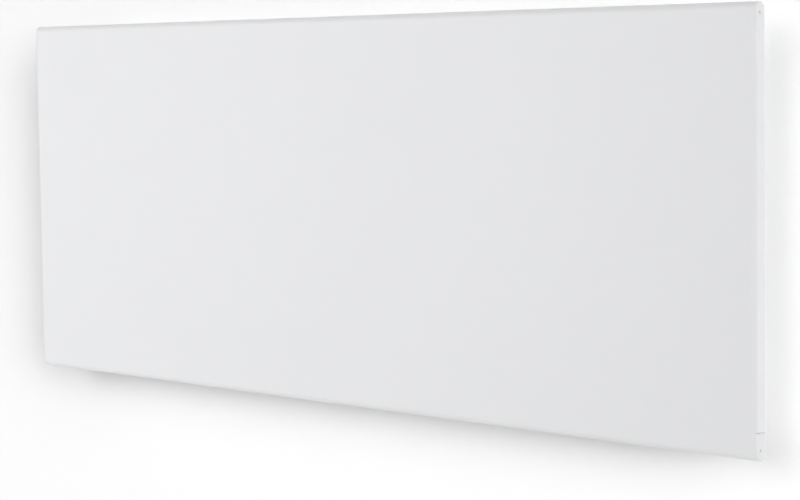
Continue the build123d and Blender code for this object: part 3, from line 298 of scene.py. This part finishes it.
# %% [markdown]
# ## Moulded plastics
# The caps, the fascia, the dial and the small boxes come from a mould with a spark-eroded grain.
# Small pits, about 0.4 mm apart, take the shine off. Voronoi cells give such pits, where plain
# noise would look like paint.

# %% Plastics
grain_scale = 2600.0
plastic_white, plastic_white_edge = rgb(0.835, 0.838, 0.85), rgb(0.93, 0.93, 0.93)
plastic_grey, plastic_grey_edge = rgb(0.42, 0.43, 0.45), rgb(0.62, 0.63, 0.65)
plastic_black, plastic_black_edge = rgb(0.035, 0.036, 0.04), rgb(0.14, 0.14, 0.15)

finishes["white_plastic"] = surface(
    "moulded_white", plastic_white, roughness=0.5, relief_scale=grain_scale, relief_height=0.00002,
    wander=0.008, edge=Edge(0.12, plastic_white_edge, 0.0004), dust=0.03, pits=True)
finishes["grey_plastic"] = surface(
    "moulded_grey", plastic_grey, roughness=0.52, relief_scale=grain_scale, relief_height=0.00003,
    wander=0.02, edge=Edge(0.3, plastic_grey_edge, 0.0005), pits=True)
finishes["black_plastic"] = surface(
    "moulded_black", plastic_black, roughness=0.38, relief_scale=grain_scale, relief_height=0.00002,
    wander=0.05, edge=Edge(0.35, plastic_black_edge, 0.0004), pits=True)
print("plastics ready")

# %% [markdown]
# ## Bare metals
# Screws, rivets and the rod are zinc plated: bright, a little blue, and unevenly shiny. The fins
# and the shields are rolled aluminium. Their grain runs along the heater, so the noise is
# stretched along X.

# %% Metals
zinc, zinc_edge = rgb(0.62, 0.63, 0.66), rgb(0.8, 0.8, 0.82)
aluminium = rgb(0.78, 0.785, 0.8)
rolled_along_x = (0.03, 1.0, 1.0)

finishes["zinc_steel"] = surface(
    "zinc_plate", zinc, roughness=0.3, relief_scale=900.0, relief_height=0.00001,
    wander=0.05, gloss_wander=0.2, metallic=1.0, edge=Edge(0.4, zinc_edge, 0.0003), dust=0.05)
finishes["element_aluminium"] = surface(
    "rolled_aluminium", aluminium, roughness=0.36, relief_scale=900.0, relief_height=0.00001,
    wander=0.04, gloss_wander=0.22, metallic=1.0, stretch=rolled_along_x, dust=0.1)
print("metals ready")

# %% [markdown]
# ## Ceramic, rubber and leads
# The bushes are unglazed steatite, the buffers are matt black rubber with a pale bloom, and the
# leads have a soft silicone sleeve. On the real heater the sleeve of the earth lead is green with
# a yellow stripe. It lies inside the closed casing, so one yellowish green stands for both.

# %% Small finishes
steatite = rgb(0.82, 0.79, 0.72)
rubber_black, rubber_bloom = rgb(0.055, 0.055, 0.057), rgb(0.16, 0.16, 0.16)
sleeve_colours = {
    "lead_brown": rgb(0.2, 0.095, 0.05),
    "lead_blue": rgb(0.05, 0.16, 0.45),
    "lead_green": rgb(0.3, 0.5, 0.09),
    "lead_grey": rgb(0.42, 0.42, 0.43),
}

finishes["bush_ceramic"] = surface(
    "steatite", steatite, roughness=0.72, relief_scale=1500.0, relief_height=0.00003,
    wander=0.03, pits=True)
finishes["rubber"] = surface(
    "buffer_rubber", rubber_black, roughness=0.82, relief_scale=1900.0, relief_height=0.00004,
    wander=0.12, edge=Edge(0.3, rubber_bloom, 0.0008), dust=0.2)
for slot, colour in sleeve_colours.items():
    finishes[slot] = surface(
        slot.replace("lead_", "sleeve_"), colour, roughness=0.55, relief_scale=1400.0,
        relief_height=0.00002, wander=0.04)
print("sleeves", sorted(sleeve_colours))


# %% [markdown]
# ## Circuit board and lamp
# The board is green resin with copper tracks under the lacquer: a brick pattern of thin lines
# stands for them. The light guide and the lamp are clear tinted plastic, so light passes through
# them, and the guide keeps a soft amber colour when the lamp is off.

# %% Board
def circuit_board():
    black, white = rgb(0, 0, 0), rgb(1, 1, 1)
    dark_resin, pale_resin = rgb(0.02, 0.16, 0.07), rgb(0.035, 0.22, 0.1)
    track_green = rgb(0.1, 0.38, 0.16)
    recipe = Recipe("lacquered_board")
    tracks = recipe.add("ShaderNodeTexBrick", {"offset": 0.35}, {
        "Vector": recipe.place(), "Scale": 260.0, "Mortar Size": 0.08, "Color1": black,
        "Color2": black, "Mortar": white}, output="Fac")
    cloud = recipe.noise(240.0)
    resin = recipe.mix(cloud, dark_resin, pale_resin)
    shader = recipe.add("ShaderNodeBsdfPrincipled", {}, {
        "Base Color": recipe.mix(tracks * 0.6, resin, track_green),
        "Roughness": 0.28 + cloud * 0.1,
        "Coat Weight": 0.4,
        "Normal": recipe.bump(tracks, 0.00003),
    })
    return recipe.finish(shader)


finishes["board_resin"] = circuit_board()
print("board ready")


# %% Lamp and light guide
def lamp_plastic():
    deep_amber, pale_amber = rgb(0.86, 0.36, 0.14), rgb(0.95, 0.45, 0.2)
    recipe = Recipe("tinted_clear")
    cloud = recipe.noise(500.0)
    shader = recipe.add("ShaderNodeBsdfPrincipled", {}, {
        "Base Color": recipe.mix(cloud, deep_amber, pale_amber),
        "Roughness": 0.14 + cloud * 0.1,
        "Transmission Weight": 0.45,
        "IOR": 1.49,
        "Normal": recipe.bump(cloud, 0.00001),
    })
    return recipe.finish(shader)


finishes["lamp_glass"] = lamp_plastic()
print("finishes", len(finishes))

# %% [markdown]
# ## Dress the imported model
# The record says which finish each sub-part takes, so the list is read from there. A sub-part
# may have more than one material slot, and all of them get the same finish.

# %% Assign the finishes
for part in frame["record"]["subparts"]:
    mesh = nodes[part["node"]].data
    finish = finishes[part["material_slot"]]
    if not mesh.materials:
        mesh.materials.append(finish)
    for index in range(len(mesh.materials)):
        mesh.materials[index] = finish

# %% [markdown]
# ## Printing ink and marks
# The control panel needs a scale that a stranger can read: ticks and the numbers 1 to 6 round
# the dial, a line on the dial, and the I and O of the switch. They are pad printed, so each is a
# very thin raised piece. Text objects give the numbers, and small bars the ticks.

# %% Ink
ink = surface("pad_print", rgb(0.16, 0.165, 0.18), roughness=0.5, relief_scale=1800.0,
              relief_height=0.000006, wander=0.05, dust=0.02)
pale_ink = surface("pad_print_pale", rgb(0.8, 0.8, 0.8), roughness=0.5, relief_scale=1800.0,
                   relief_height=0.000006, wander=0.04, dust=0.0)
ink_height = 0.00006


def print_piece(name, mesh, place, material, body):
    """A printed mesh, made on the plane z = 0, that is moved to place and rides on body."""
    mesh.materials.clear()
    mesh.materials.append(material)
    mesh.transform(place)
    piece = bpy.data.objects.new(name, mesh)
    scene_collection.objects.link(piece)
    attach(piece, body)


def printed_bars(name, bars, place, material, body):
    """Thin raised bars, each given as its middle x and y, length, width and turn."""
    box_faces = [(0, 1, 5, 4), (1, 2, 6, 5), (2, 3, 7, 6), (3, 0, 4, 7), (3, 2, 1, 0), (4, 5, 6, 7)]
    points, faces = [], []
    for x, y, length, width, angle in bars:
        base = len(points)
        spin = Matrix.Rotation(angle, 3, "Z")
        for z in (-ink_height, ink_height):
            for dx, dy in ((-1, -1), (1, -1), (1, 1), (-1, 1)):
                corner = spin @ Vector((dx * length / 2, dy * width / 2, z))
                points.append(corner + Vector((x, y, 0)))
        faces += [tuple(base + corner for corner in face) for face in box_faces]
    mesh = bpy.data.meshes.new(name)
    mesh.from_pydata(points, [], faces)
    print_piece(name, mesh, place, material, body)


def printed_text(name, words, size, place, material, body):
    """A printed sign with its middle at the origin of place."""
    curve = bpy.data.curves.new(name, "FONT")
    curve.body = words
    curve.size = size
    curve.extrude = ink_height
    curve.align_x = "CENTER"
    curve.align_y = "CENTER"
    source = bpy.data.objects.new(name + "_source", curve)
    mesh = bpy.data.meshes.new_from_object(source)
    mesh.name = name
    bpy.data.objects.remove(source)
    print_piece(name, mesh, place, material, body)


print("printing ready")

# %% [markdown]
# ## The scale
# The dial turns 135 degrees each way, so the ticks cover three quarters of a circle, with a long
# one at each number and at the end. They are worked out from the dial's own box, so they stay
# round it. A tick that would run under the light guide is left out.

# %% Scale round the dial
fascia_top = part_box("control_fascia")[1].z
dial_low, dial_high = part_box("thermostat_dial")
dial_middle = (dial_low + dial_high) / 2
skirt_radius = (dial_high.x - dial_low.x) / 2
guide_low, guide_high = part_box("light_guide")
guide_middle = (guide_low + guide_high) / 2
guide_room = 0.0034

first_turn = math.radians(-135)
step_turn = math.radians(45)
scale_steps = 6
parts_per_step = 4
long_tick, short_tick = 0.0016, 0.0009
tick_width = 0.00032
tick_gap = 0.0008
number_size = 0.0029
number_reach = skirt_radius + 0.0044


def round_the_dial(angle, reach):
    """The x and y of a spot at a turn from the back of the dial and a reach from its middle."""
    return dial_middle.x + math.sin(angle) * reach, dial_middle.y + math.cos(angle) * reach


ticks = []
for index in range(parts_per_step * scale_steps + 1):
    angle = first_turn + step_turn * index / parts_per_step
    length = short_tick if index % parts_per_step else long_tick
    x, y = round_the_dial(angle, skirt_radius + tick_gap + length / 2)
    if math.hypot(x - guide_middle.x, y - guide_middle.y) > guide_room:
        ticks.append((x, y, length, tick_width, math.pi / 2 - angle))
printed_bars("dial_scale", ticks, Matrix.Translation((0, 0, fascia_top)), ink, "heater")
for number in range(scale_steps):
    x, y = round_the_dial(first_turn + step_turn * number, number_reach)
    spot = Matrix.Translation((x, y, fascia_top))
    printed_text(f"dial_number_{number + 1}", str(number + 1), number_size, spot, ink, "heater")
print("ticks", len(ticks), "numbers", scale_steps, "on the fascia at", round(fascia_top, 4))

# %% [markdown]
# ## The line on the dial
# The dial has a shallow groove moulded in its top, filled with ink. The line lies on the floor of
# that groove and rides on the dial, so it turns past the scale, which stays with the heater.

# %% Line on the dial
groove_depth = 0.0006
line_length = 0.007
line_width = 0.0009
line_reach = 0.0086

line = (dial_middle.x, dial_middle.y + line_reach, line_length, line_width, math.pi / 2)
on_dial = Matrix.Translation((0, 0, dial_high.z - groove_depth))
printed_bars("dial_line", [line], on_dial, ink, "dial")
print("dial line at", round(dial_high.z - groove_depth, 4))

# %% [markdown]
# ## Marks on the switch
# A rocker switch has an I on the half that is pressed to turn it on, and an O on the other. The
# rocker's two faces rise outwards from its middle like a very open V, and at rest the whole rocker
# is tipped to its off side. The marks follow both tilts, so they lie on the faces.

# %% I and O
rocker_hinge = next(joint for joint in frame["joints"] if joint["name"] == "rocker_tip")
pivot = Vector(rocker_hinge["pos_m"])
rocker_tilt = math.radians(8)
face_rise = 0.0036
mark_reach = 0.0056
mark_size = 0.0042

rest_tilt = Matrix.Translation(pivot) @ Matrix.Rotation(-rocker_tilt, 4, "X")
for side, words in ((-1, "I"), (1, "O")):
    face = Matrix.Translation((0, 0, face_rise)) @ Matrix.Rotation(side * rocker_tilt, 4, "X")
    spot = rest_tilt @ face @ Matrix.Translation((0, side * mark_reach, 0))
    printed_text(f"switch_mark_{words}", words, mark_size, spot, pale_ink, "rocker")
print("switch marks at", [round(v, 4) for v in pivot])


# %% [markdown]
# ## Wall and floor
# The heater hangs on a white wall, so a wall just behind the bracket takes the soft shadow that
# the photograph shows below and left of the panel. The wall is a diffuse white with a little glow
# that only the camera, reflections and clear plastic see, which keeps it paper white around the
# shadow. Seen from behind, the wall is clear, so that the back of the heater can be looked at. A
# pale floor lies well below.

# %% Stage
stage_reach = 6.0
wall_place = 0.0008
wall_tone, wall_glow = rgb(0.8, 0.8, 0.8), 0.085
floor_height = -1.3
floor_tone, floor_glow = rgb(0.82, 0.82, 0.81), 0.12
white = rgb(1, 1, 1)


def stage_material(name, tone, glow, clear_back):
    recipe = Recipe(name)
    rays = ("Is Camera Ray", "Is Glossy Ray", "Is Transmission Ray")
    camera_ray, glossy_ray, through_ray = [recipe.add("ShaderNodeLightPath", output=ray) for ray in rays]
    seen = recipe.larger(camera_ray, recipe.larger(glossy_ray, through_ray))
    diffuse = recipe.add("ShaderNodeBsdfDiffuse", {}, {"Color": tone})
    light = recipe.add("ShaderNodeEmission", {}, {"Color": white, "Strength": seen * glow})
    shader = recipe.add("ShaderNodeAddShader", {}, {0: diffuse, 1: light})
    if clear_back:
        behind = recipe.add("ShaderNodeNewGeometry", output="Backfacing")
        clear = recipe.add("ShaderNodeBsdfTransparent")
        shader = recipe.add("ShaderNodeMixShader", {}, {0: behind, 1: shader, 2: clear})
    return recipe.finish(shader)


def stage_sheet(name, corners, material):
    mesh = bpy.data.meshes.new(name)
    mesh.from_pydata(corners, [], [(0, 1, 2, 3)])
    mesh.materials.append(material)
    sheet = bpy.data.objects.new(name, mesh)
    scene_collection.objects.link(sheet)
    sheet.visible_shadow = False
    return sheet


low, high = -stage_reach, stage_reach
wall = stage_sheet("wall", [(low, wall_place, floor_height), (high, wall_place, floor_height),
                            (high, wall_place, high), (low, wall_place, high)],
                   stage_material("white_wall", wall_tone, wall_glow, clear_back=True))
floor = stage_sheet("floor", [(low, low, floor_height), (high, low, floor_height),
                              (high, high, floor_height), (low, high, floor_height)],
                    stage_material("pale_floor", floor_tone, floor_glow, clear_back=False))
print("stage", wall.name, floor.name)

# %% [markdown]
# ## World
# A dim even world fills the shadows. The camera sees it as white where the wall does not reach.

# %% World
fill_level = 0.06
paper_level = 1.0

world = bpy.data.worlds.new("studio")
world.use_nodes = True
bpy.context.scene.world = world
world_tree = world.node_tree
world_tree.nodes.clear()
path = world_tree.nodes.new("ShaderNodeLightPath")
either = world_tree.nodes.new("ShaderNodeMixShader")
output = world_tree.nodes.new("ShaderNodeOutputWorld")
world_tree.links.new(path.outputs["Is Camera Ray"], either.inputs[0])
for socket, level in ((1, fill_level), (2, paper_level)):
    background = world_tree.nodes.new("ShaderNodeBackground")
    background.inputs["Color"].default_value = white
    background.inputs["Strength"].default_value = level
    world_tree.links.new(background.outputs[0], either.inputs[socket])
world_tree.links.new(either.outputs[0], output.inputs["Surface"])
print("world fill", fill_level)

# %% [markdown]
# ## Separate light for the heater and the wall
# The heater and the wall get their light from separate lamps, as a retoucher would light a cut-out
# and its shadow. A lamp is linked to a collection of receivers. The collection that excludes the
# wall reaches everything else. A sun's level is given as the brightness of a white sheet that
# faces it, which is easier to judge than its energy.

# %% Lamp helpers
wall_only = bpy.data.collections.new("wall_only")
wall_only.objects.link(wall)
all_but_wall = bpy.data.collections.new("all_but_wall")
all_but_wall.objects.link(wall)
all_but_wall.collection_objects[0].light_linking.link_state = "EXCLUDE"


def lamp_object(name, data, aim, receivers):
    """A lamp that shines along aim, on the receivers alone."""
    lamp = bpy.data.objects.new(name, data)
    scene_collection.objects.link(lamp)
    lamp.rotation_mode = "QUATERNION"
    lamp.rotation_quaternion = Vector(aim).to_track_quat("-Z", "Y")
    lamp.light_linking.receiver_collection = receivers
    lamp.visible_camera = False
    return lamp


def soft_sun(name, aim, level, spread_degrees, receivers):
    """A broad sun whose level is the brightness that it gives a white sheet facing it."""
    data = bpy.data.lights.new(name, "SUN")
    data.energy = level * math.pi
    data.angle = math.radians(spread_degrees)
    return lamp_object(name, data, aim, receivers)


print("lamp helpers ready")

# %% [markdown]
# ## Lamps on the heater
# Five broad suns light the heater from the front and all round. The one from above is weak, so
# that the rolled top edge is greyer than the front, as in the photograph. A sixth sun, much
# narrower, draws the light line along the folded side. One large lamp at the front left gives the
# front its faint fall-off to the right. The last sun comes through the wall, for the parts at the
# back, which would be black in a view from behind.

# %% Lamps on the heater
heater_suns = [
    ("sun_front", (0.15, 1.0, -0.05), 0.29, 100),
    ("sun_top", (0.0, 0.25, -1.0), 0.04, 110),
    ("sun_bottom", (0.0, 0.3, 1.0), 0.35, 110),
    ("sun_left", (1.0, 0.25, 0.0), 0.08, 110),
    ("sun_right", (-1.0, 0.25, 0.0), 0.20, 110),
    ("sun_edge", (-0.82, 0.57, -0.16), 0.36, 8),
]
for name, aim, level, spread in heater_suns:
    soft_sun(name, aim, level, spread, all_but_wall)

back_parts = bpy.data.collections.new("back_parts")
back_names = ["rear_casing", "catch_left", "catch_right", "catch_rivets", "wall_buffers", "element_screws"]
for name in back_names + [name for name in nodes if name.startswith("bracket_")]:
    back_parts.objects.link(nodes[name])
back_sun = soft_sun("sun_back", (0.12, -1.0, -0.3), 0.28, 60, back_parts)
back_sun.data.cycles.use_multiple_importance_sampling = False

key_place = Vector((-1.6, -2.2, 0.25))
key_size = 1.6
key_watts = 19.3
key_data = bpy.data.lights.new("key", "AREA")
key_data.shape = "SQUARE"
key_data.size = key_size
key_data.energy = key_watts
key = lamp_object("key", key_data, -key_place, all_but_wall)
key.location = key_place

# %% [markdown]
# ## The shadow on the wall
# The photograph's shadow is dark close to the panel and fades over a hand's width, which one sun
# can't give. Eleven suns from the upper right do, each a share of the whole. Each has its angle to
# the right and its angle upwards, both seen from the wall, and its share. A sun's level is raised
# by its slant, so that its share of the light on the wall stays as written.

# %% Lamps on the wall
shadow_suns = [
    (6, 20, 0.08), (13, 14, 0.12), (19, 31, 0.08), (22, 11, 0.12), (27, 18, 0.08),
    (55, 17, 0.12), (55, 38, 0.08), (60, 12, 0.12), (62, 23, 0.12), (66, 16, 0.06), (46, 50, 0.02),
]
wall_level = 0.86
shadow_spread = 20

for number, (side, rise, share) in enumerate(shadow_suns, 1):
    slope = Vector((-math.tan(math.radians(side)), 1.0, -math.tan(math.radians(rise))))
    level = wall_level * share * slope.length
    soft_sun(f"sun_shadow_{number}", slope, level, shadow_spread, wall_only)
print("suns on the wall", len(shadow_suns))
